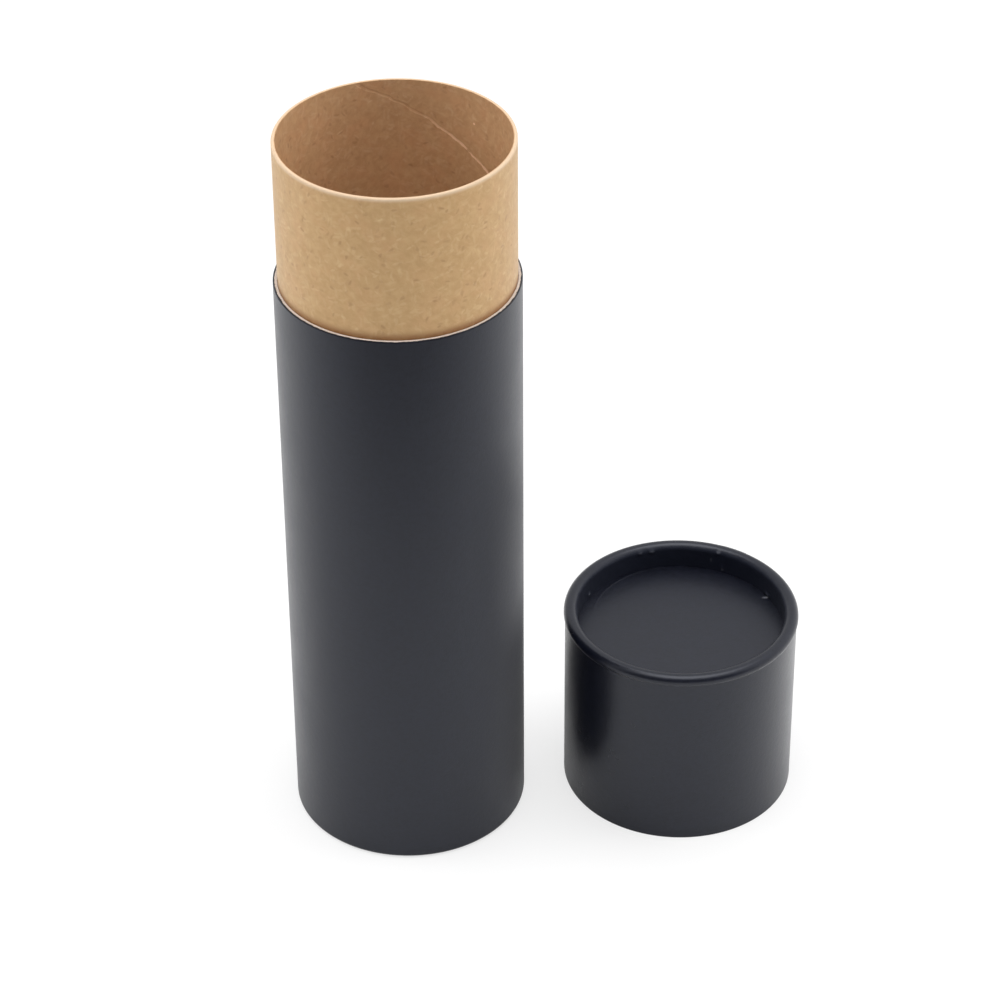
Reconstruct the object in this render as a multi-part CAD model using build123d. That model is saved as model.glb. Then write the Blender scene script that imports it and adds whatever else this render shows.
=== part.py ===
from build123d import *
from math import acos, cos, pi, radians, sin
import os

# Neck-and-cap paper tube, shown open, in millimetres. A kraft board tube is glued inside a black
# paper-faced sleeve and stands out of its top as the neck. The cap is off and stands beside it.
# The origin is the centre of the foot, on the surface that tube and cap stand on, with +Z up.

# Neck tube
bore_diameter = 70.0
neck_wall = 1.2
neck_standout = 47.5
neck_lip_radius = 0.5

# Sleeve, with its lower end rolled in as the foot
glue_gap = 0.1
sleeve_wall = 1.3
sleeve_height = 198.0
foot_bead_radius = 1.7
foot_flat = 0.6
foot_recess = 6.0

# Base disc, inside the sleeve between the rolled foot and the neck tube
base_disc_thickness = 2.0
base_disc_clearance = 0.1

# Cap, with its upper end rolled in as a bead that stands proud of the wall, and its disc
cap_clearance = 0.2
cap_wall = 1.2
cap_height = 66.0
cap_bead_radius = 2.0
cap_bead_proud = 0.45
cap_crown_flat = 0.4
cap_recess = 8.5
cap_disc_thickness = 2.0
cap_disc_clearance = 0.1

# Where the cap stands: the space between the two walls, and its direction from the tube's axis
standing_gap = 13.9
cap_bearing_deg = 5.8

# Radii, worked outwards from the bore
bore_radius = bore_diameter / 2
neck_radius = bore_radius + neck_wall
sleeve_bore_radius = neck_radius + glue_gap
sleeve_radius = sleeve_bore_radius + sleeve_wall
cap_bore_radius = neck_radius + cap_clearance
cap_radius = cap_bore_radius + cap_wall

# Heights
base_disc_top = foot_recess + base_disc_thickness
neck_top = sleeve_height + neck_standout
cap_disc_top = cap_height - cap_recess

# The cap's axis
cap_reach = sleeve_radius + standing_gap + cap_radius
cap_bearing = radians(cap_bearing_deg)
cap_place = Location((cap_reach * cos(cap_bearing), cap_reach * sin(cap_bearing), 0))


def turned(section):
    """Turn a section, drawn with radius along X and height along Z, into a solid round the Z axis."""
    return revolve(section, Axis.Z)


def rolled_wall(radius, wall, bead_radius, bead_proud, crown_flat, cut_end, crown, tucked_end):
    """Section of one board wall that runs from its cut end to a rolled crown, turns over inwards
    there and comes back along the inside to its tucked end, with a square-cornered hollow in the roll.
    The bead may stand proud of the wall. Then it swells out from its root on the wall."""
    away = 1 if crown > cut_end else -1
    roll_start = crown - away * bead_radius
    inner_crown = crown - away * wall
    outer_turn = radius + bead_proud - bead_radius
    inner_turn = outer_turn - crown_flat
    inside = inner_turn - bead_radius
    root_angle = acos((bead_radius - bead_proud) / bead_radius)
    root = roll_start - away * bead_radius * sin(root_angle)
    swell_angle = (pi / 2 - root_angle) / 2
    knee = bead_radius * cos(radians(45))

    with BuildSketch(Plane.XZ) as section:
        with BuildLine():
            Line((radius, cut_end), (radius, root))
            ThreePointArc((radius, root),
                          (outer_turn + bead_radius * cos(swell_angle),
                           roll_start + away * bead_radius * sin(swell_angle)),
                          (outer_turn, crown))
            Line((outer_turn, crown), (inner_turn, crown))
            ThreePointArc((inner_turn, crown),
                          (inner_turn - knee, roll_start + away * knee),
                          (inside, roll_start))
            Polyline((inside, roll_start), (inside, tucked_end), (inside + wall, tucked_end),
                     (inside + wall, inner_crown), (radius - wall, inner_crown),
                     (radius - wall, cut_end), (radius, cut_end))
        make_face()
    return section.sketch


def outer_sleeve():
    """Black-faced sleeve: cut square at the shoulder, rolled in at the foot."""
    return turned(rolled_wall(sleeve_radius, sleeve_wall, foot_bead_radius, 0, foot_flat,
                              sleeve_height, 0, foot_recess))


def neck_tube():
    """Kraft tube from the base disc to the mouth, with its cut edge rubbed round."""
    with BuildSketch(Plane.XZ) as section:
        with BuildLine():
            Polyline((bore_radius, base_disc_top), (neck_radius, base_disc_top),
                     (neck_radius, neck_top), (bore_radius, neck_top), close=True)
        make_face()
        outer_edge = section.vertices().group_by(Axis.Y)[-1].sort_by(Axis.X)[-1]
        fillet(outer_edge, neck_lip_radius)
    return turned(section.sketch)


def base_disc():
    """Board disc that the neck tube stands on, held up by the rolled foot."""
    disc = Cylinder(sleeve_bore_radius - base_disc_clearance, base_disc_thickness,
                    align=(Align.CENTER, Align.CENTER, Align.MIN))
    return Pos(0, 0, foot_recess) * disc


def cap_tube():
    """Cap wall: cut square at the mouth, which stands on the surface, and rolled in at the top."""
    return cap_place * turned(rolled_wall(cap_radius, cap_wall, cap_bead_radius, cap_bead_proud,
                                          cap_crown_flat, 0, cap_height, cap_disc_top))


def cap_disc():
    """Black-faced disc set down in the cap, under the tucked end of the roll."""
    disc = Cylinder(cap_bore_radius - cap_disc_clearance, cap_disc_thickness,
                    align=(Align.CENTER, Align.CENTER, Align.MAX))
    return cap_place * (Pos(0, 0, cap_disc_top) * disc)


pieces = {
    "outer_sleeve": outer_sleeve,
    "neck_tube": neck_tube,
    "base_disc": base_disc,
    "cap_tube": cap_tube,
    "cap_disc": cap_disc,
}

os.makedirs("parts", exist_ok=True)
for name, make in pieces.items():
    export_step(make(), f"parts/{name}.step")
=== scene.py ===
from math import atan2, cos, degrees, exp, hypot, pi, radians, sin, sqrt, tau

import bpy
from mathutils import Matrix, Vector, noise


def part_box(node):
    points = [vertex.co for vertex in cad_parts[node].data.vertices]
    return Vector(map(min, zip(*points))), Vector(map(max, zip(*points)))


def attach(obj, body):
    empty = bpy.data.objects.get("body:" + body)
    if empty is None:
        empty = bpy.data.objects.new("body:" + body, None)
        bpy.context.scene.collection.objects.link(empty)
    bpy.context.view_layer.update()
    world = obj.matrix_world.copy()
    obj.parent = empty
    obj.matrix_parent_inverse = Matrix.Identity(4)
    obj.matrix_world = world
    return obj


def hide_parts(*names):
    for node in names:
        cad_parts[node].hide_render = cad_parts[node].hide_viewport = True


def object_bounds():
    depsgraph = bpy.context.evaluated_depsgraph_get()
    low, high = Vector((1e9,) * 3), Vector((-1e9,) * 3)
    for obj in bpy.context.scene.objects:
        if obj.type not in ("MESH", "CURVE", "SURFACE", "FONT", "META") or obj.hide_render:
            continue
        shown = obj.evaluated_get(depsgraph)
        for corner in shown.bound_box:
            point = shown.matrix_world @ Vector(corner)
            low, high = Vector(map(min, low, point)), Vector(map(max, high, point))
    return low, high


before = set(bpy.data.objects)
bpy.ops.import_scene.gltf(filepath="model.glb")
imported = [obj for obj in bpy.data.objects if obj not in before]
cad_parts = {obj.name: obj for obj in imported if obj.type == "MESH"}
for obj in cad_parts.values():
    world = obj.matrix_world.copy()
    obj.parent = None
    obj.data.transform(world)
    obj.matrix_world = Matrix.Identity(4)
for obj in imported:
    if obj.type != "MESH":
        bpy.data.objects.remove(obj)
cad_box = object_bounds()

# Round paper tube, open: a kraft neck in a black paper sleeve, and the black cap beside it.
# Metres, +Z up, the tube's axis at the origin.

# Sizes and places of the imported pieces
sleeve_low, sleeve_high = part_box("outer_sleeve")
neck_low, neck_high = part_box("neck_tube")
base_low, base_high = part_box("base_disc")
cap_low, cap_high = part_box("cap_tube")
panel_low, panel_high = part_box("cap_disc")

TUBE_AXIS = Vector((0, 0, 0))
CAP_AXIS = Vector(((cap_low[0] + cap_high[0]) / 2, (cap_low[1] + cap_high[1]) / 2, 0))
UPRIGHT = (0, 0, 1)
SLEEVE_RADIUS = (sleeve_high[0] - sleeve_low[0]) / 2
SLEEVE_TOP = sleeve_high[2]
NECK_RADIUS = (neck_high[0] - neck_low[0]) / 2
NECK_FOOT = neck_low[2]
NECK_TOP = neck_high[2]
BASE_RADIUS = (base_high[0] - base_low[0]) / 2
BASE_UNDERSIDE = base_low[2]
BASE_TOP = base_high[2]
CAP_RIM_RADIUS = (cap_high[0] - cap_low[0]) / 2
CAP_TOP = cap_high[2]
PANEL_RADIUS = (panel_high[0] - panel_low[0]) / 2
PANEL_UNDERSIDE = panel_low[2]
PANEL_TOP = panel_high[2]
FLOOR = cad_box[0][2]

# Board walls and rolled rims
SLEEVE_WALL = 0.0013
NECK_WALL = 0.0012
CAP_WALL = 0.0012
FOOT_RADIUS = 0.0017
FOOT_FLAT = 0.0006
BEAD_RADIUS = 0.0020
BEAD_PROUD = 0.00045
BEAD_FLAT = 0.0004
BEAD_ROOT = 0.0006
BORE_RADIUS = NECK_RADIUS - NECK_WALL
CAP_RADIUS = CAP_RIM_RADIUS - BEAD_PROUD
CAP_CROWN_RADIUS = CAP_RIM_RADIUS - BEAD_RADIUS - BEAD_FLAT
CAP_LEG_RADIUS = CAP_CROWN_RADIUS - BEAD_RADIUS

# Turns, in degrees
QUARTER_TURN = 90
HALF_TURN = 180
FULL_TURN = 360

# Edges
PAPER_EDGE = 0.00050
CUT_ROUND = 0.0005
CUT_TURN = 45
CUT_DROP = CUT_ROUND * sin(radians(CUT_TURN))
LIP_OUTSIDE = 0.0005
LIP_INSIDE = 0.00015
DISC_EDGE = 0.0003

# Fineness of the turned meshes
SLEEVE_STEPS = 360
NECK_STEPS = 360
CAP_STEPS = 480
DISC_STEPS = 288
BEAD_STEPS = 12
EDGE_STEPS = 4
LIP_STEPS = 8
FOOT_LEG_ROWS = 2
CAP_LEG_ROWS = 16
BASE_RINGS = 6
PANEL_RINGS = 60
UNDERSIDE_RINGS = 3
MIDDLE_RINGS = 6
DISC_FINE_SHARE = 0.75
WELD = 0.000001
SMOOTH_ANGLE = radians(35)
SEED_SIZE = 0.001

# The paper facing laps over itself on the far side of sleeve and cap
LAP_HEIGHT = 0.00011
LAP_WIDTH = radians(12)
LAP_RAMP = radians(3)
SLEEVE_LAP = radians(128)
CAP_LAP = radians(52)

# Pleats in the cap's roll
PLEAT_COUNT = 9.0
PLEAT_DRIFT = 180.0
PLEAT_FINE = 2.3
PLEAT_DEPTH = 0.00010
PLEAT_WALL_SHARE = 0.9
PLEAT_REACH = CAP_WALL * PLEAT_WALL_SHARE

# The deep pleats: bearing in degrees, height, half width, half height, lift
DEEP_PLEATS = [
    (29, 0.0585, 0.0014, 0.0004, 0.0005),
    (63, 0.0590, 0.0004, 0.0014, 0.0004),
    (66, 0.0648, 0.0006, 0.0008, 0.0004),
    (104, 0.0642, 0.0008, 0.0007, 0.0004),
    (111, 0.0644, 0.0007, 0.0007, 0.0003),
    (151, 0.0592, 0.0007, 0.0005, 0.0005),
]

# A ridge in the paper of the cap's disc
RIDGE_START = radians(90)
RIDGE_TURN = radians(75)
RIDGE_START_RADIUS = 0.0334
RIDGE_END_RADIUS = 0.0292
RIDGE_WIDTH = 0.0004
RIDGE_HEIGHT = 0.00010
RIDGE_FADE = 0.15
RIDGE_END_FADE = 0.45

# Sockets of the colour Mix node, which shares its names among several
MIX_FACTOR = 0
MIX_FIRST = 6
MIX_SECOND = 7
MIX_RESULT = 2

# Noise: the middle of its range, and how strong its fine levels are where nothing else is given
NOISE_MIDDLE = 0.5
NOISE_ROUGHNESS = 0.5


class Signal:
    """One socket of a finish. Sums, products and the like of signals add Math nodes."""

    def __init__(self, finish, socket):
        self.finish = finish
        self.socket = socket

    def also(self, output):
        """Another output of the same node."""
        return Signal(self.finish, self.socket.node.outputs[output])

    def math(self, operation, *values):
        return self.finish.add("ShaderNodeMath", {"operation": operation}, dict(enumerate(values)))

    def __add__(self, other):
        return self.math("ADD", self, other)

    def __radd__(self, other):
        return self.math("ADD", other, self)

    def __sub__(self, other):
        return self.math("SUBTRACT", self, other)

    def __rsub__(self, other):
        return self.math("SUBTRACT", other, self)

    def __mul__(self, other):
        return self.math("MULTIPLY", self, other)

    def __rmul__(self, other):
        return self.math("MULTIPLY", other, self)

    def __truediv__(self, other):
        return self.math("DIVIDE", self, other)

    def __rtruediv__(self, other):
        return self.math("DIVIDE", other, self)

    def __abs__(self):
        return self.math("ABSOLUTE", self)

    def fraction(self):
        return self.math("FRACT", self)

    def larger(self, other):
        return self.math("MAXIMUM", self, other)

    def diagonal(self, other):
        """The long side of a right triangle whose short sides are these two."""
        return self.math("SQRT", self * self + other * other)


class Finish:
    """A node tree under construction: a material, or the world."""

    def __init__(self, owner):
        owner.use_nodes = True
        self.owner = owner
        self.tree = owner.node_tree
        self.tree.nodes.clear()

    def add(self, kind, settings=None, inputs=None, output=0):
        """A node of that kind, with its settings, then its sockets' values or links."""
        node = self.tree.nodes.new(kind)
        for name, value in (settings or {}).items():
            setattr(node, name, value)
        for name, value in (inputs or {}).items():
            if isinstance(value, Signal):
                self.tree.links.new(value.socket, node.inputs[name])
            else:
                node.inputs[name].default_value = value
        return Signal(self, node.outputs[output]) if len(node.outputs) else None

    def mix(self, factor, first, second):
        """First colour at factor 0, second at factor 1."""
        colours = [value if isinstance(value, Signal) else (*value, 1) for value in (first, second)]
        sockets = {MIX_FACTOR: factor, MIX_FIRST: colours[0], MIX_SECOND: colours[1]}
        return self.add("ShaderNodeMix", {"data_type": "RGBA"}, sockets, MIX_RESULT)

    def ramp(self, value, low, high):
        """0 up to low, 1 from high on, smooth between. Low may be the larger one."""
        return self.add("ShaderNodeMapRange", {"interpolation_type": "SMOOTHSTEP"},
                        {"Value": value, "From Min": low, "From Max": high})

    def noise(self, spot, scale, detail, roughness=NOISE_ROUGHNESS):
        return self.add("ShaderNodeTexNoise", {"noise_dimensions": "3D"},
                        {"Vector": spot, "Scale": scale, "Detail": detail, "Roughness": roughness})

    def bump(self, height, depth, under=None):
        """A bumped normal, on top of the one under it where there is one."""
        sockets = {"Height": height, "Distance": depth, "Strength": 1}
        if under:
            sockets["Normal"] = under
        return self.add("ShaderNodeBump", None, sockets)

    def spot(self, axis):
        """Object coordinates, centred on an upright axis."""
        place = self.add("ShaderNodeTexCoord", None, None, "Object")
        return self.add("ShaderNodeMapping", {"vector_type": "POINT"},
                        {"Vector": place, "Location": tuple(-axis)})

    def parts(self, vector):
        """The three numbers of a vector."""
        first = self.add("ShaderNodeSeparateXYZ", None, {"Vector": vector})
        return first, first.also("Y"), first.also("Z")

    def from_axis(self, spot):
        """Distance from the axis, and height, of a surface point."""
        x, y, height = self.parts(spot)
        return x.diagonal(y), height

    def from_front(self, spot):
        """Bearing of a surface point round the axis, 0 in front and growing to the right."""
        x, y = self.parts(spot)[:2]
        return x.math("ARCTAN2", x, 0 - y)

    def blend(self, factor, first, second):
        """First shader at factor 0, second at factor 1."""
        return self.add("ShaderNodeMixShader", None, dict(enumerate((factor, first, second))))

    def surface(self, shader):
        self.add("ShaderNodeOutputMaterial", None, {"Surface": shader})
        return self.owner


# Ink and board colours, as they measure in plain light
INK_DEEP = (0.0017, 0.0022, 0.0054)
INK_PALE = (0.0052, 0.0063, 0.0136)
INK_THIN = (0.0062, 0.0080, 0.0165)
INK_PALE_MARK = (0.15, 0.155, 0.18)
GLOSS_TINT = (0.88, 0.91, 1.0, 1.0)
CUT_BOARD = (0.62, 0.54, 0.47)
CUT_BOARD_DARK = (0.44, 0.36, 0.30)

# Grain of the black paper: features per metre, and levels of detail
PAPER_TOOTH = (2600.0, 3.0)
PAPER_GRIT = (650.0, 3.0)
PAPER_CLOUD = (85.0, 3.0)
PAPER_SWELL = (28.0, 1.0)

# How that grain shows in the ink, the roughness and the relief
GRIT_LOW = 0.3
GRIT_HIGH = 0.7
INK_CLOUD = 0.45
INK_GRIT = 0.40
INK_TOOTH = 0.15
ROUGH_CLOUD = 0.08
ROUGH_GRIT = 0.06
ROUGH_TOOTH = 0.04
ROUGH_MIDDLE = NOISE_MIDDLE * (ROUGH_CLOUD + ROUGH_GRIT + ROUGH_TOOTH)
GRIT_RELIEF = 1.5
GRAIN_DEPTH = 0.000020
SWELL_DEPTH = 0.00018

# Roughness of each black piece, and what thin ink and bare board add to it
SLEEVE_ROUGHNESS = 0.38
BASE_ROUGHNESS = 0.42
CAP_ROUGHNESS = 0.30
PANEL_ROUGHNESS = 0.39
THIN_ROUGHNESS = 0.25
BOARD_ROUGHNESS = 0.5

# Bare board, where the paper ends in a ragged line
RAGGED_EDGE = 0.0006
PAPER_EDGE_SOFT = 1.3
DISC_EDGE_SOFT = 2
BOARD_DARK_LOW = 0.45
BOARD_DARK_HIGH = 0.70

# Where the ink is thin on the cap's roll and where pale marks begin, in shares of the bead's radius
THIN_START_SHARE = 0.5
THIN_FULL_SHARE = 0.1
MARK_START_SHARE = 0.3

# Pale marks: their edge and their core in half widths, and the least of them that shows
MARK_EDGE = 1.2
MARK_CORE = 0.3
MARK_LEAST = 0.4

# Pale marks in the ink inside the cap's roll: bearing in degrees, height, half width, half height,
# strength
PALE_MARKS = [
    (63, 0.0588, 0.0006, 0.00060, 0.3),
    (66, 0.0650, 0.0009, 0.00045, 0.3),
    (70, 0.0615, 0.0004, 0.00110, 0.2),
    (104, 0.0643, 0.0012, 0.00045, 0.2),
    (111, 0.0645, 0.0009, 0.00040, 0.2),
    (151, 0.0592, 0.0007, 0.00045, 0.6),
]

# A pale mark on the cap's disc, beside the roll: place from the cap's axis, turn, half length, half
# width
DISC_MARK_PLACE = (0.0290, 0.0160, 0)
DISC_MARK_TURN = radians(12)
DISC_MARK_HALF_LENGTH = 0.0017
DISC_MARK_HALF_WIDTH = 0.0006


def black_paper(name, axis, roughness, bare_board, worn_ink=None):
    """Satin black facing paper. bare_board gives the mask of what the paper leaves bare, and
    worn_ink the masks of where the ink is thin, if it is anywhere, and where it has pale marks."""
    paper = Finish(bpy.data.materials.new(name))
    spot = paper.spot(axis)
    tooth = paper.noise(spot, *PAPER_TOOTH)
    grit = paper.noise(spot, *PAPER_GRIT)
    cloud = paper.noise(spot, *PAPER_CLOUD)
    swell = paper.noise(spot, *PAPER_SWELL)
    gritty = paper.ramp(grit, GRIT_LOW, GRIT_HIGH)
    colour = paper.mix(cloud * INK_CLOUD + gritty * INK_GRIT + tooth * INK_TOOTH, INK_DEEP, INK_PALE)
    roughness = roughness - ROUGH_MIDDLE + cloud * ROUGH_CLOUD + tooth * ROUGH_TOOTH + grit * ROUGH_GRIT
    if worn_ink:
        thin, marked = worn_ink(paper, spot)
        if thin:
            colour = paper.mix(thin, colour, INK_THIN)
            roughness = roughness + thin * THIN_ROUGHNESS
        colour = paper.mix(marked * (MARK_LEAST + tooth), colour, INK_PALE_MARK)
    reach, height = paper.from_axis(spot)
    bare = bare_board(paper, reach + (grit - NOISE_MIDDLE) * RAGGED_EDGE, height)
    board = paper.mix(paper.ramp(tooth, BOARD_DARK_LOW, BOARD_DARK_HIGH), CUT_BOARD, CUT_BOARD_DARK)
    colour = paper.mix(bare, colour, board)
    roughness = roughness + bare * BOARD_ROUGHNESS
    grain = paper.bump(tooth + grit * GRIT_RELIEF, GRAIN_DEPTH)
    shape = paper.bump(swell, SWELL_DEPTH, grain)
    return paper.surface(paper.add("ShaderNodeBsdfPrincipled", None, {
        "Base Color": colour, "Roughness": roughness, "Normal": shape, "Specular Tint": GLOSS_TINT}))


def behind_paper(finish, reach, radius):
    """What lies behind the thickness of the paper on a wall of that radius."""
    return finish.ramp(reach, radius - PAPER_EDGE, radius - PAPER_EDGE * PAPER_EDGE_SOFT)


def bare_sleeve(finish, reach, height):
    """The sleeve's cut top and its inside."""
    above_foot = finish.ramp(height, BASE_TOP, BASE_TOP + SLEEVE_WALL)
    return behind_paper(finish, reach, SLEEVE_RADIUS) * above_foot


def bare_cap(finish, reach, height):
    """The cap's cut mouth and its inside."""
    below_panel = finish.ramp(height, PANEL_UNDERSIDE, PANEL_UNDERSIDE - CAP_WALL)
    return behind_paper(finish, reach, CAP_RADIUS) * below_panel


def bare_base(finish, reach, height):
    """The upper face of the base disc."""
    return finish.ramp(height, BASE_UNDERSIDE + DISC_EDGE, BASE_UNDERSIDE + DISC_EDGE * DISC_EDGE_SOFT)


def bare_panel(finish, reach, height):
    """The lower face of the cap's disc."""
    return finish.ramp(height, PANEL_TOP - DISC_EDGE, PANEL_TOP - DISC_EDGE * DISC_EDGE_SOFT)


def pale_mark(finish, across, along):
    """One soft oval mark, from the distances to its middle in half widths and half heights."""
    return finish.ramp(across.diagonal(along), MARK_EDGE, MARK_CORE)


def cap_wear(finish, spot):
    """The ink is thin where the paper is stretched over the inner half of the roll, and has pale
    marks in a few places there."""
    reach, height = finish.from_axis(spot)
    bearing = finish.from_front(spot)
    thin = finish.ramp(reach, CAP_CROWN_RADIUS - BEAD_RADIUS * THIN_START_SHARE,
                       CAP_LEG_RADIUS + BEAD_RADIUS * THIN_FULL_SHARE)
    thin = thin * finish.ramp(height, PANEL_TOP - CAP_WALL, PANEL_TOP)
    marked = 0
    for turn, middle, half_width, half_height, strength in PALE_MARKS:
        turn_from_front = radians((turn + QUARTER_TURN + HALF_TURN) % FULL_TURN - HALF_TURN)
        across = (bearing - turn_from_front) * (CAP_LEG_RADIUS / half_width)
        along = (height - middle) / half_height
        mark = pale_mark(finish, across, along) * strength
        marked = mark.larger(marked)
    inner_half = finish.ramp(reach, CAP_CROWN_RADIUS, CAP_CROWN_RADIUS - BEAD_RADIUS * MARK_START_SHARE)
    return thin, marked * inner_half


def panel_marks(finish, spot):
    """No thin ink, and one pale mark, on the cap's disc."""
    laid = finish.add("ShaderNodeMapping", {"vector_type": "TEXTURE"}, {
        "Vector": spot, "Location": DISC_MARK_PLACE, "Rotation": (0, 0, DISC_MARK_TURN),
        "Scale": (DISC_MARK_HALF_LENGTH, DISC_MARK_HALF_WIDTH, 1)})
    across, along = finish.parts(laid)[:2]
    return None, pale_mark(finish, across, along)


# Kraft tones: the outside of the neck, then its lining
DEEP_TONE = ((0.242, 0.118, 0.045), (0.235, 0.108, 0.046))
DARK_TONE = ((0.400, 0.240, 0.095), (0.415, 0.236, 0.115))
MID_TONE = ((0.482, 0.308, 0.137), (0.525, 0.325, 0.170))
PALE_TONE = ((0.630, 0.455, 0.252), (0.650, 0.460, 0.300))
BLUSH_TONE = ((0.500, 0.282, 0.128), (0.520, 0.262, 0.132))
# The colour of the painted shade above the shoulder
SHOULDER_SHADE = (0.250, 0.110, 0.034)
SEAM_PALE = (0.760, 0.500, 0.320)
LIP_PALE = (0.590, 0.445, 0.310)

# Grain of the kraft: features per metre, levels of detail, and how strong the fine levels are
KRAFT_TOOTH = (1500.0, 4.0, 0.65)
KRAFT_MOTTLE = (420.0, 5.0, 0.65)
KRAFT_CLOUD = (70.0, 3.0)
KRAFT_BLUSH = (150.0, 2.0)
KRAFT_SWAY = (330.0, 1.0)
KRAFT_DRIFT = (170.0, 1.0)

# How that grain shows in the tone, the roughness and the relief
MOTTLE_LOW = 0.3
MOTTLE_HIGH = 0.7
TONE_CLOUD = 0.35
TONE_MOTTLE = 0.64
TONE_TOOTH = 0.18
TONE_DROP = 0.08
BLUSH_LOW = 0.42
BLUSH_HIGH = 0.68
BLUSH_STRENGTH = 0.30
KRAFT_ROUGHNESS = 0.44
TOOTH_ROUGHNESS = 0.12
LIP_ROUGHNESS = 0.2
PALE_RELIEF = 0.4
DARK_RELIEF = 0.3
SEAM_RELIEF = 1.5
KRAFT_DEPTH = 0.00004

# Where the lining begins and is full, in shares of the neck's wall
LINING_START_SHARE = 0.3
LINING_FULL_SHARE = 0.1

# Flecks: a cell's length and width, a fleck's size in its cell, and the share of cells that have one
FIBRE = (0.0048, 0.0013, 0.5, 0.5)
SPECK = (0.0034, 0.0017, 0.34, 0.14)
FLECK_CORE = 0.4
FLECK_SHARE_SOFT = 0.05
SWAY_REACH = 0.0020

# Layers of flecks, each with its turn in radians and its offset, and how strongly they show
PALE_FIBRES = [(0.3, 0.0), (1.7, 0.013)]
DARK_FIBRES = [(-0.5, 0.027), (2.3, 0.041)]
PALE_SPECKS = [(0.7, 0.055), (2.6, 0.083)]
DARK_SPECKS = [(1.1, 0.069), (-0.2, 0.097)]
PALE_FIBRE_STRENGTH = 0.20
DARK_FIBRE_STRENGTH = 0.50
PALE_SPECK_STRENGTH = 0.28
DARK_SPECK_STRENGTH = 0.42

# The painted shade above the shoulder, and the rubbed lip below the neck's top
SHOULDER_SHADE_HEIGHT = 0.0034
SHOULDER_SHADE_STRENGTH = 0.45
LIP_START = 0.0014
LIP_FULL = 0.0002
LIP_STRENGTH = 0.65
LIP_TOOTH = 0.4

# The wound seam inside the neck tube. It fades towards the top, to its share at the lip
SEAM_RISE_PER_TURN = 0.125
SEAM_HEIGHT_IN_FRONT = 0.1755
SEAM_HALF_WIDTH = 0.00030
SEAM_SOFT_EDGE = 2
SEAM_WANDER = 0.0014
SEAM_DRIFT = 0.0022
SEAM_FADE_END = 0.009
SEAM_FADE_START = 0.020
SEAM_AT_LIP = 0.07
SEAM_BREAK_LOW = 0.25
SEAM_BREAK_HIGH = 0.50
HALF_WAY = 0.5

# One pale spot on the inside: bearing from the front, height, radius and soft edge
SPOT_BEARING = radians(138.5)
SPOT_HEIGHT = 0.235
SPOT_RADIUS = 0.0003
SPOT_SOFT_EDGE = 1.5


def unrolled_wall(kraft, spot, bearing, height):
    """The neck's wall laid flat, with a small sway so that its fibres are not straight."""
    sway_x, sway_y = kraft.parts(kraft.noise(spot, *KRAFT_SWAY).also("Color"))[:2]
    return kraft.add("ShaderNodeCombineXYZ", None, {
        "X": bearing * NECK_RADIUS + sway_x * SWAY_REACH, "Y": height + sway_y * SWAY_REACH})


def flecks(kraft, unrolled, layers, length, width, size, share):
    """Specks or short fibres in layers, each layer laid in its own direction."""
    seen = 0
    for turn, offset in layers:
        laid = kraft.add("ShaderNodeMapping", {"vector_type": "TEXTURE"}, {
            "Vector": unrolled, "Rotation": (0, 0, turn), "Scale": (length, width, 1),
            "Location": (offset, offset, 0)})
        cell = kraft.add("ShaderNodeTexVoronoi", {"voronoi_dimensions": "2D", "feature": "F1"}, {
            "Vector": laid, "Scale": 1, "Randomness": 1})
        chance, strength = kraft.parts(cell.also("Color"))[:2]
        chosen = kraft.ramp(chance, share + FLECK_SHARE_SOFT, share - FLECK_SHARE_SOFT)
        fleck = kraft.ramp(cell, size, size * FLECK_CORE) * chosen * strength
        seen = fleck.larger(seen)
    return seen


def wound_seam(kraft, bearing, height, mottle, drift):
    """The line of the seam, which climbs round the wall a little unsteadily."""
    unsteady = height + (mottle - NOISE_MIDDLE) * SEAM_WANDER + (drift - NOISE_MIDDLE) * SEAM_DRIFT
    turns = (unsteady - SEAM_HEIGHT_IN_FRONT) / SEAM_RISE_PER_TURN - bearing / tau
    gap = abs((turns + HALF_WAY).fraction() - HALF_WAY) * SEAM_RISE_PER_TURN
    return kraft.ramp(gap, SEAM_HALF_WIDTH * SEAM_SOFT_EDGE, SEAM_HALF_WIDTH)


def pale_spot(kraft, bearing, height):
    """The one pale spot on the lining."""
    across = (bearing - SPOT_BEARING) * BORE_RADIUS
    return kraft.ramp(across.diagonal(height - SPOT_HEIGHT), SPOT_RADIUS * SPOT_SOFT_EDGE, SPOT_RADIUS)


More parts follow.
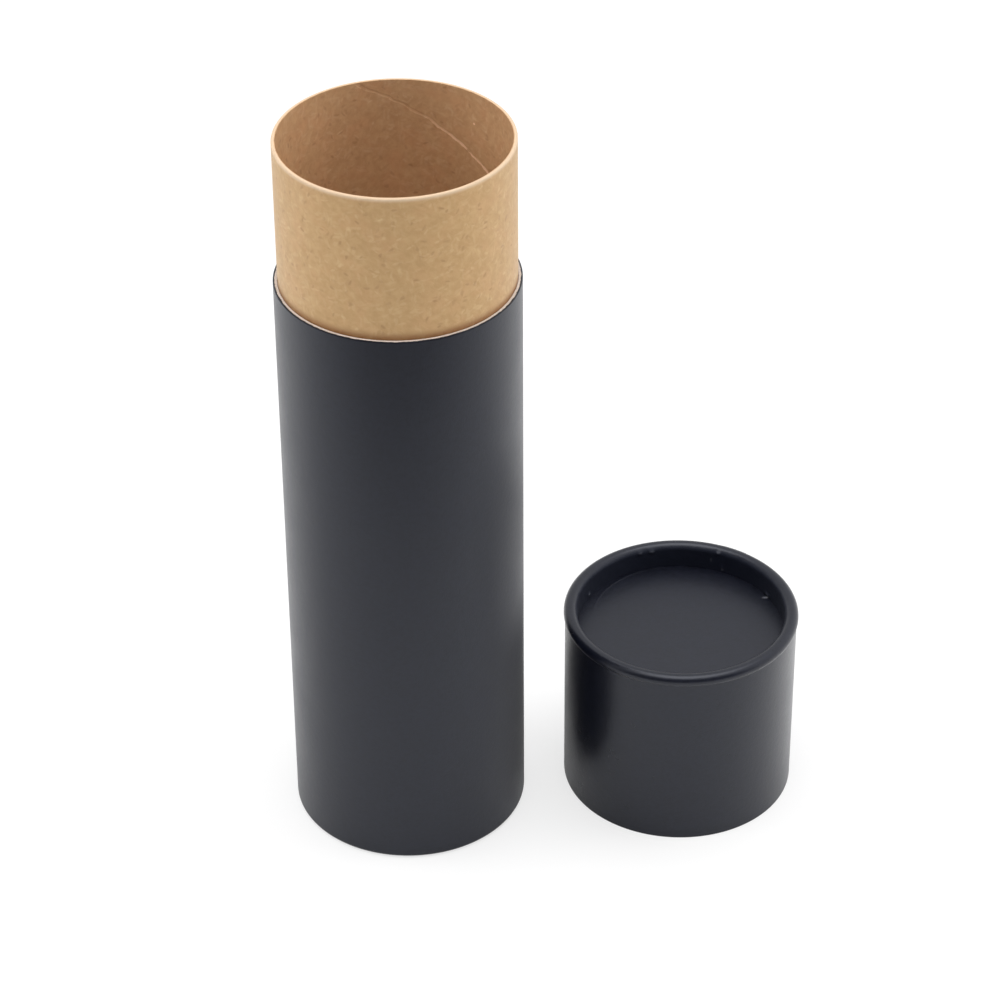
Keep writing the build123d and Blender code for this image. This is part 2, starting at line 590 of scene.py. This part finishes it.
def kraft_board(name):
    """Bare wound kraft: cloudy brown with pale and dark fibres, a pale lip and the seam inside."""
    kraft = Finish(bpy.data.materials.new(name))
    spot = kraft.spot(TUBE_AXIS)
    reach, height = kraft.from_axis(spot)
    bearing = kraft.from_front(spot)
    inside = kraft.ramp(reach, BORE_RADIUS + NECK_WALL * LINING_START_SHARE,
                        BORE_RADIUS + NECK_WALL * LINING_FULL_SHARE)
    tooth = kraft.noise(spot, *KRAFT_TOOTH)
    mottle = kraft.noise(spot, *KRAFT_MOTTLE)
    cloud = kraft.noise(spot, *KRAFT_CLOUD)

    # Cloudy brown
    dark_tone = kraft.mix(inside, *DARK_TONE)
    pale_tone = kraft.mix(inside, *PALE_TONE)
    mottled = kraft.ramp(mottle, MOTTLE_LOW, MOTTLE_HIGH)
    tone = cloud * TONE_CLOUD + mottled * TONE_MOTTLE + tooth * TONE_TOOTH - TONE_DROP
    colour = kraft.mix(tone, dark_tone, kraft.mix(inside, *MID_TONE))
    blush = kraft.ramp(kraft.noise(spot, *KRAFT_BLUSH), BLUSH_LOW, BLUSH_HIGH)
    colour = kraft.mix(blush * BLUSH_STRENGTH, colour, kraft.mix(inside, *BLUSH_TONE))

    # Fibres and specks
    unrolled = unrolled_wall(kraft, spot, bearing, height)
    pale_fibres = flecks(kraft, unrolled, PALE_FIBRES, *FIBRE)
    dark_fibres = flecks(kraft, unrolled, DARK_FIBRES, *FIBRE)
    pale_specks = flecks(kraft, unrolled, PALE_SPECKS, *SPECK)
    dark_specks = flecks(kraft, unrolled, DARK_SPECKS, *SPECK)
    colour = kraft.mix(pale_fibres * PALE_FIBRE_STRENGTH, colour, pale_tone)
    colour = kraft.mix(dark_fibres * DARK_FIBRE_STRENGTH, colour, dark_tone)
    colour = kraft.mix(pale_specks * PALE_SPECK_STRENGTH, colour, pale_tone)
    colour = kraft.mix(dark_specks * DARK_SPECK_STRENGTH, colour, kraft.mix(inside, *DEEP_TONE))

    # Painted shade above the shoulder, darkest where the neck meets the sleeve
    shoulder_shade = kraft.ramp(height, SLEEVE_TOP + SHOULDER_SHADE_HEIGHT, SLEEVE_TOP) * (1 - inside)
    colour = kraft.mix(shoulder_shade * (SHOULDER_SHADE_STRENGTH + mottle), colour, SHOULDER_SHADE)

    # Seam and pale spot inside
    seam = inside * wound_seam(kraft, bearing, height, mottle, kraft.noise(spot, *KRAFT_DRIFT))
    below_lip = kraft.ramp(height, NECK_TOP - SEAM_FADE_END, NECK_TOP - SEAM_FADE_START)
    broken = kraft.ramp(mottle, SEAM_BREAK_LOW, SEAM_BREAK_HIGH)
    shown = (below_lip * (1 - SEAM_AT_LIP) + SEAM_AT_LIP) * broken
    colour = kraft.mix(seam * shown, colour, SEAM_PALE)
    colour = kraft.mix(pale_spot(kraft, bearing, height) * inside, colour, SEAM_PALE)

    # Rubbed lip
    lip = kraft.ramp(height, NECK_TOP - LIP_START, NECK_TOP - LIP_FULL) * (1 - inside)
    colour = kraft.mix(lip * (LIP_STRENGTH + tooth * LIP_TOOTH), colour, LIP_PALE)

    roughness = KRAFT_ROUGHNESS + tooth * TOOTH_ROUGHNESS + lip * LIP_ROUGHNESS
    relief = tooth + pale_fibres * PALE_RELIEF - dark_fibres * DARK_RELIEF - seam * SEAM_RELIEF
    return kraft.surface(kraft.add("ShaderNodeBsdfPrincipled", None, {
        "Base Color": colour, "Roughness": roughness, "Normal": kraft.bump(relief, KRAFT_DEPTH)}))


def arc(centre, radius, start, end, steps):
    """Points of a section along an arc, angles in degrees from the outward direction."""
    points = []
    for step in range(steps + 1):
        angle = radians(start + (end - start) * step / steps)
        points.append((centre[0] + radius * cos(angle), centre[1] + radius * sin(angle)))
    return points


def run(start, end, count):
    """Points of a section along a straight line, both ends left out."""
    points = []
    for step in range(1, count + 1):
        share = step / (count + 1)
        points.append((start[0] + (end[0] - start[0]) * share, start[1] + (end[1] - start[1]) * share))
    return points


def rolled_section(radius, wall, bead, proud, flat, cut_end, crown, tucked_end, leg_rows):
    """Closed section of a board wall that is cut square at one end and rolled in at the other,
    where the bead may stand proud of the wall."""
    away = 1 if crown > cut_end else -1
    roll_start = crown - away * bead
    outer_turn = radius + proud - bead
    inner_turn = outer_turn - flat
    inside = inner_turn - bead
    inner_crown = crown - away * wall
    root_reach = bead - proud + BEAD_ROOT
    root_drop = sqrt((bead + BEAD_ROOT) ** 2 - root_reach ** 2)
    root_turn = degrees(atan2(root_drop, root_reach)) * away
    points = [(radius - wall, cut_end)]
    points += arc((radius - CUT_ROUND, cut_end + away * CUT_DROP), CUT_ROUND,
                  -CUT_TURN * away, 0, EDGE_STEPS)
    if proud:
        points += arc((radius + BEAD_ROOT, roll_start - away * root_drop), BEAD_ROOT,
                      HALF_TURN, HALF_TURN - root_turn, EDGE_STEPS)
    points += arc((outer_turn, roll_start), bead, -root_turn, QUARTER_TURN * away, BEAD_STEPS)
    points += arc((inner_turn, roll_start), bead, QUARTER_TURN * away, HALF_TURN * away, BEAD_STEPS)
    points += run((inside, roll_start), (inside, tucked_end), leg_rows)
    points += [(inside, tucked_end), (inside + wall, tucked_end), (inside + wall, inner_crown),
               (radius - wall, inner_crown)]
    return points


def disc_section(radius, underside, top, rings):
    """Half section of a disc with eased edges, from its middle below to its middle above."""
    edge = radius - DISC_EDGE
    fine = radius * DISC_FINE_SHARE
    points = [(0, underside)]
    points += run((0, underside), (edge, underside), UNDERSIDE_RINGS)
    points += arc((edge, underside + DISC_EDGE), DISC_EDGE, -QUARTER_TURN, 0, EDGE_STEPS)
    points += arc((edge, top - DISC_EDGE), DISC_EDGE, 0, QUARTER_TURN, EDGE_STEPS)
    points += run((edge, top), (fine, top), rings)
    points += run((fine, top), (0, top), MIDDLE_RINGS)
    points += [(0, top)]
    return points


def new_plane(name, size, place, turn=(0, 0, 0)):
    """A plane to start a piece from, selected alone."""
    bpy.ops.object.select_all(action="DESELECT")
    bpy.ops.mesh.primitive_plane_add(size=size, location=place, rotation=turn)
    plane = bpy.context.object
    plane.name = name
    return plane


def spin_piece(name, section, axis, steps, closed=True):
    """Draw a section from one point, edge by edge, and spin it round an upright axis."""
    first = section[0]
    piece = new_plane(name, SEED_SIZE, (axis[0] + first[0], axis[1], first[1]))
    bpy.ops.object.transform_apply(location=True, rotation=True, scale=True)
    bpy.ops.object.mode_set(mode="EDIT")
    bpy.ops.mesh.select_all(action="SELECT")
    bpy.ops.mesh.merge(type="CENTER")
    ends = section[1:] + section[:1] if closed else section[1:]
    for start, end in zip(section, ends):
        step = (end[0] - start[0], 0, end[1] - start[1])
        bpy.ops.mesh.extrude_vertices_move(TRANSFORM_OT_translate={"value": step})
    bpy.ops.mesh.select_all(action="SELECT")
    bpy.ops.mesh.remove_doubles(threshold=WELD)
    bpy.ops.mesh.spin(steps=steps, angle=tau, center=tuple(axis), axis=UPRIGHT)
    bpy.ops.mesh.select_all(action="SELECT")
    bpy.ops.mesh.remove_doubles(threshold=WELD)
    bpy.ops.mesh.normals_make_consistent(inside=False)
    bpy.ops.object.mode_set(mode="OBJECT")
    return piece


def finish_piece(piece, material, node):
    """Smooth shading, its finish, and its place in the frame."""
    bpy.ops.object.shade_smooth_by_angle(angle=SMOOTH_ANGLE)
    piece.data.materials.clear()
    piece.data.materials.append(material)
    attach(piece, "root")
    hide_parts(node)


def round_axis(piece, axis):
    """Each vertex of a piece as it stands round an upright axis: x, y, distance and bearing."""
    for vertex in piece.data.vertices:
        x = vertex.co.x - axis[0]
        y = vertex.co.y - axis[1]
        yield vertex, x, y, hypot(x, y), atan2(y, x)


def push_out(vertex, x, y, reach, distance):
    """Move a vertex straight away from the axis."""
    vertex.co.x += x / reach * distance
    vertex.co.y += y / reach * distance


def turn_from(bearing, start):
    """How far a bearing lies past a start, from 0 to a full turn."""
    return (bearing - start) % tau


def raise_lap(piece, axis, radius, start):
    """Lift the end of the facing paper by its own thickness where it laps over its beginning."""
    for vertex, x, y, reach, bearing in round_axis(piece, axis):
        past = turn_from(bearing, start)
        if reach < radius - PAPER_EDGE or past > LAP_WIDTH + LAP_RAMP:
            continue
        lift = LAP_HEIGHT * min(1, (LAP_WIDTH + LAP_RAMP - past) / LAP_RAMP)
        push_out(vertex, x, y, reach, lift)


def pleat_roll(piece, axis, leg_radius, crown_radius, tucked_end, crown):
    """Crease the inner half of a roll, where the paper has to shorten: fine uneven pleats that run
    over the roll and down its leg, and the few deep ones that stand out."""
    for vertex, x, y, reach, bearing in round_axis(piece, axis):
        height = vertex.co.z
        if height < tucked_end or reach > leg_radius + PLEAT_REACH:
            continue
        down = crown - height
        wave = Vector((cos(bearing) * PLEAT_COUNT, sin(bearing) * PLEAT_COUNT, down * PLEAT_DRIFT))
        depth = noise.noise(wave) * PLEAT_DEPTH
        depth += noise.noise(wave * PLEAT_FINE) * PLEAT_DEPTH / PLEAT_FINE
        for pleat_bearing, pleat_height, width, rise, lift in DEEP_PLEATS:
            across = (bearing - radians(pleat_bearing) + pi) % tau - pi
            share = (across * leg_radius / width) ** 2 + ((height - pleat_height) / rise) ** 2
            depth += lift * exp(-share)
        inner = (crown_radius - reach) / (crown_radius - leg_radius)
        push_out(vertex, x, y, reach, -depth * min(1, inner))


def ridge_disc(piece, axis, top):
    """A faint ridge in the disc's paper, near its edge on one side."""
    for vertex, x, y, reach, bearing in round_axis(piece, axis):
        past = turn_from(bearing, RIDGE_START) / RIDGE_TURN
        if vertex.co.z < top - WELD or past > 1:
            continue
        middle = RIDGE_START_RADIUS + (RIDGE_END_RADIUS - RIDGE_START_RADIUS) * past * past
        fade = min(1, past / RIDGE_FADE, (1 - past) / RIDGE_END_FADE)
        vertex.co.z += RIDGE_HEIGHT * fade * exp(-((reach - middle) / RIDGE_WIDTH) ** 2)


def make_sleeve():
    """Black sleeve, cut at the shoulder and rolled in at the foot."""
    section = rolled_section(SLEEVE_RADIUS, SLEEVE_WALL, FOOT_RADIUS, 0, FOOT_FLAT,
                             SLEEVE_TOP, FLOOR, BASE_UNDERSIDE, FOOT_LEG_ROWS)
    piece = spin_piece("black_sleeve", section, TUBE_AXIS, SLEEVE_STEPS)
    raise_lap(piece, TUBE_AXIS, SLEEVE_RADIUS, SLEEVE_LAP)
    paper = black_paper("sleeve_paper", TUBE_AXIS, SLEEVE_ROUGHNESS, bare_sleeve)
    finish_piece(piece, paper, "outer_sleeve")


def make_neck():
    """Kraft tube with its cut edge rubbed round."""
    section = [(BORE_RADIUS, NECK_FOOT), (NECK_RADIUS, NECK_FOOT)]
    section += arc((NECK_RADIUS - LIP_OUTSIDE, NECK_TOP - LIP_OUTSIDE), LIP_OUTSIDE,
                   0, QUARTER_TURN, LIP_STEPS)
    section += arc((BORE_RADIUS + LIP_INSIDE, NECK_TOP - LIP_INSIDE), LIP_INSIDE,
                   QUARTER_TURN, HALF_TURN, EDGE_STEPS)
    piece = spin_piece("kraft_neck", section, TUBE_AXIS, NECK_STEPS)
    finish_piece(piece, kraft_board("neck_kraft"), "neck_tube")


def make_base():
    """Board disc that closes the foot."""
    section = disc_section(BASE_RADIUS, BASE_UNDERSIDE, BASE_TOP, BASE_RINGS)
    piece = spin_piece("base_board", section, TUBE_AXIS, DISC_STEPS, closed=False)
    paper = black_paper("base_paper", TUBE_AXIS, BASE_ROUGHNESS, bare_base)
    finish_piece(piece, paper, "base_disc")


def make_cap():
    """Cap wall, cut at the mouth and rolled in at the top as a bead."""
    section = rolled_section(CAP_RADIUS, CAP_WALL, BEAD_RADIUS, BEAD_PROUD, BEAD_FLAT,
                             FLOOR, CAP_TOP, PANEL_TOP, CAP_LEG_ROWS)
    piece = spin_piece("black_cap", section, CAP_AXIS, CAP_STEPS)
    raise_lap(piece, CAP_AXIS, CAP_RADIUS, CAP_LAP)
    pleat_roll(piece, CAP_AXIS, CAP_LEG_RADIUS, CAP_CROWN_RADIUS, PANEL_TOP, CAP_TOP)
    paper = black_paper("cap_paper", CAP_AXIS, CAP_ROUGHNESS, bare_cap, cap_wear)
    finish_piece(piece, paper, "cap_tube")


def make_panel():
    """Disc set down in the cap."""
    section = disc_section(PANEL_RADIUS, PANEL_UNDERSIDE, PANEL_TOP, PANEL_RINGS)
    piece = spin_piece("cap_panel", section, CAP_AXIS, DISC_STEPS, closed=False)
    ridge_disc(piece, CAP_AXIS, PANEL_TOP)
    paper = black_paper("panel_paper", CAP_AXIS, PANEL_ROUGHNESS, bare_panel, panel_marks)
    finish_piece(piece, paper, "cap_disc")


# White table. In reflections only, it has painted shade towards the camera and a painted shadow behind
# the tube
WHITE = (1, 1, 1)
TABLE_SIZE = 6.0
TABLE_DROP = 0.0001
TABLE_WHITE = (0.82, 0.82, 0.82)
TABLE_FRONT = (0.16, 0.16, 0.16)
TABLE_SHADE = (0.07, 0.07, 0.07)
TABLE_SHADOW_SHARE = 0.35
FRONT_FADE_START = -0.15
FRONT_FADE_END = -0.55
FRONT_FADE_SHARE = 0.8
NEAR_FADE_START = 0.03
NEAR_FADE_END = -0.06
NEAR_FADE_SHARE = 0.2
SHADE_MIDDLE = Vector((0.007, 0.042, 0))
SHADE_REACH = 0.062


def make_table():
    """The surface that tube and cap stand on, white to the camera except for their shadow."""
    table = new_plane("white_table", TABLE_SIZE, (0, 0, FLOOR - TABLE_DROP))
    bpy.ops.object.transform_apply(location=True, rotation=True, scale=True)
    white = Finish(bpy.data.materials.new("table_white"))
    ray = white.add("ShaderNodeLightPath", None, None, "Is Camera Ray")
    mirrored = ray.also("Is Glossy Ray").larger(ray.also("Is Transmission Ray"))
    depth = white.parts(white.spot(TUBE_AXIS))[1]
    # Painted shade towards the camera, in reflections only
    front = white.ramp(depth, FRONT_FADE_START, FRONT_FADE_END) * FRONT_FADE_SHARE
    front = front + white.ramp(depth, NEAR_FADE_START, NEAR_FADE_END) * NEAR_FADE_SHARE
    # Painted shadow behind the tube, in reflections only
    shade = white.ramp(white.from_axis(white.spot(SHADE_MIDDLE))[0], SHADE_REACH, 0)
    tone = white.mix(front * mirrored, TABLE_WHITE, TABLE_FRONT)
    tone = white.mix(shade * mirrored, tone, TABLE_SHADE)
    matt = white.add("ShaderNodeBsdfDiffuse", None, {"Color": tone})
    light = white.add("ShaderNodeEmission", None, {"Color": (*WHITE, 1)})
    shader = white.blend(ray * (1 - TABLE_SHADOW_SHARE), matt, light)
    table.data.materials.append(white.surface(shader))


# A glowing card between tube and cap that only the sleeve's gloss sees: a painted reflection in place of
# the black cap
CARD_PLACE = (0.0436, -0.006, 0.075)
CARD_WIDTH = 0.076
CARD_HEIGHT = 0.150
CARD_FADE = 0.040
CARD_SIDE_FADE = 0.024
CARD_PALE = (0.88, 0.88, 0.88)
CARD_DARK = (0.29, 0.29, 0.29)
CARD_TOP = (0.85, 0.85, 0.85)
CARD_TOP_START = 0.055
CARD_TOP_END = 0.085
CARD_TONE_START = 0.0
CARD_TONE_END = -0.034


def make_card():
    """The card, a painted reflection, which faces the sleeve and fades out towards its top and its
    sides.
    """
    card = new_plane("painted_reflection_card", 1, CARD_PLACE, (0, -pi / 2, 0))
    bpy.ops.object.transform_apply(location=False, rotation=True, scale=True)
    card.scale = (1, CARD_WIDTH, CARD_HEIGHT)
    bpy.ops.object.transform_apply(location=True, rotation=True, scale=True)
    grey = Finish(bpy.data.materials.new("painted_reflection_grey"))
    y, z = grey.parts(grey.spot(TUBE_AXIS))[1:]
    ray = grey.add("ShaderNodeLightPath", None, None, "Is Glossy Ray")
    behind = grey.add("ShaderNodeNewGeometry", None, None, "Backfacing")
    side = CARD_WIDTH / 2
    seen = ray * (1 - behind) * grey.ramp(z, CARD_HEIGHT, CARD_HEIGHT - CARD_FADE)
    seen = seen * grey.ramp(abs(y - CARD_PLACE[1]), side, side - CARD_SIDE_FADE)
    tone = grey.mix(grey.ramp(y, CARD_TONE_START, CARD_TONE_END), CARD_DARK, CARD_PALE)
    tone = grey.mix(grey.ramp(z, CARD_TOP_START, CARD_TOP_END), tone, CARD_TOP)
    # The card's glow: painted reflection
    light = grey.add("ShaderNodeEmission", None, {"Color": tone})
    clear = grey.add("ShaderNodeBsdfTransparent")
    card.data.materials.append(grey.surface(grey.blend(seen, clear, light)))
    card.visible_camera = False
    card.visible_diffuse = False
    card.visible_shadow = False


# A bright room: darker behind the camera, brighter on the right, brightest overhead
ROOM_BRIGHT = (0.89, 0.89, 0.89)
ROOM_RIGHT = (1.20, 1.20, 1.20)
ROOM_DARK = (0.20, 0.20, 0.21)
ROOM_OVERHEAD = (3.6, 3.6, 3.6)
ROOM_RIGHT_START = 0.05
ROOM_RIGHT_END = 0.70
ROOM_DARK_START = -0.30
ROOM_DARK_END = -0.65
ROOM_DARK_TOP = 0.80
ROOM_DARK_FULL = 0.60
ROOM_OVERHEAD_START = 0.84
ROOM_OVERHEAD_END = 0.96


def make_room():
    """The light all round, plain white where the camera looks straight at it."""
    room = Finish(bpy.data.worlds.new("white_room"))
    bpy.context.scene.world = room.owner
    ray = room.add("ShaderNodeLightPath", None, None, "Is Camera Ray")
    x, y, z = room.parts(room.add("ShaderNodeTexCoord", None, None, "Generated"))
    light = room.mix(room.ramp(x, ROOM_RIGHT_START, ROOM_RIGHT_END), ROOM_BRIGHT, ROOM_RIGHT)
    front = room.ramp(y, ROOM_DARK_START, ROOM_DARK_END) * room.ramp(z, ROOM_DARK_TOP, ROOM_DARK_FULL)
    light = room.mix(front, light, ROOM_DARK)
    light = room.mix(room.ramp(z, ROOM_OVERHEAD_START, ROOM_OVERHEAD_END), light, ROOM_OVERHEAD)
    light = room.mix(ray, light, WHITE)
    sky = room.add("ShaderNodeBackground", None, {"Color": light, "Strength": 1})
    room.add("ShaderNodeOutputWorld", None, {"Surface": sky})


# Soft lamps: name, place, size and power
LAMP_TARGET = Vector((0.05, 0, 0.1))
LAMPS = [
    ("front_lamp", (0.05, -0.55, 1.15), 0.8, 2.0),
    ("left_lamp", (-0.90, 0.05, 0.75), 0.7, 3.5),
    ("right_lamp", (1.00, 0.05, 0.75), 0.7, 3.0),
]


def make_lamp(name, place, size, power):
    """A round lamp that shines on the object and isn't mirrored in it."""
    lamp = bpy.data.lights.new(name, "AREA")
    lamp.shape = "DISK"
    lamp.size = size
    lamp.energy = power
    holder = bpy.data.objects.new(name, lamp)
    bpy.context.scene.collection.objects.link(holder)
    holder.location = place
    holder.rotation_euler = (LAMP_TARGET - Vector(place)).to_track_quat("-Z", "Y").to_euler()
    holder.visible_glossy = False


# Camera: the photograph's lens, place and angle
LENS = 126.588
SENSOR = 36.0
CAMERA_PLACE = (0.0302073, -0.9013248, 0.752213)
CAMERA_DOWN = radians(35.2524)
CAMERA_ROLL = radians(-0.397)


def make_camera():
    """The camera, tilted down and rolled a little, with nothing out of focus."""
    data = bpy.data.cameras.new("camera")
    data.lens = LENS
    data.sensor_width = SENSOR
    data.dof.use_dof = False
    camera = bpy.data.objects.new("camera", data)
    bpy.context.scene.collection.objects.link(camera)
    camera.location = CAMERA_PLACE
    tilt = Matrix.Rotation(pi / 2 - CAMERA_DOWN, 3, "X")
    camera.rotation_euler = (tilt @ Matrix.Rotation(CAMERA_ROLL, 3, "Z")).to_euler()
    bpy.context.scene.camera = camera


make_camera()
make_sleeve()
make_neck()
make_base()
make_cap()
make_panel()
make_table()
make_card()
make_room()
for lamp in LAMPS:
    make_lamp(*lamp)

bpy.context.scene.view_settings.view_transform = "Standard"
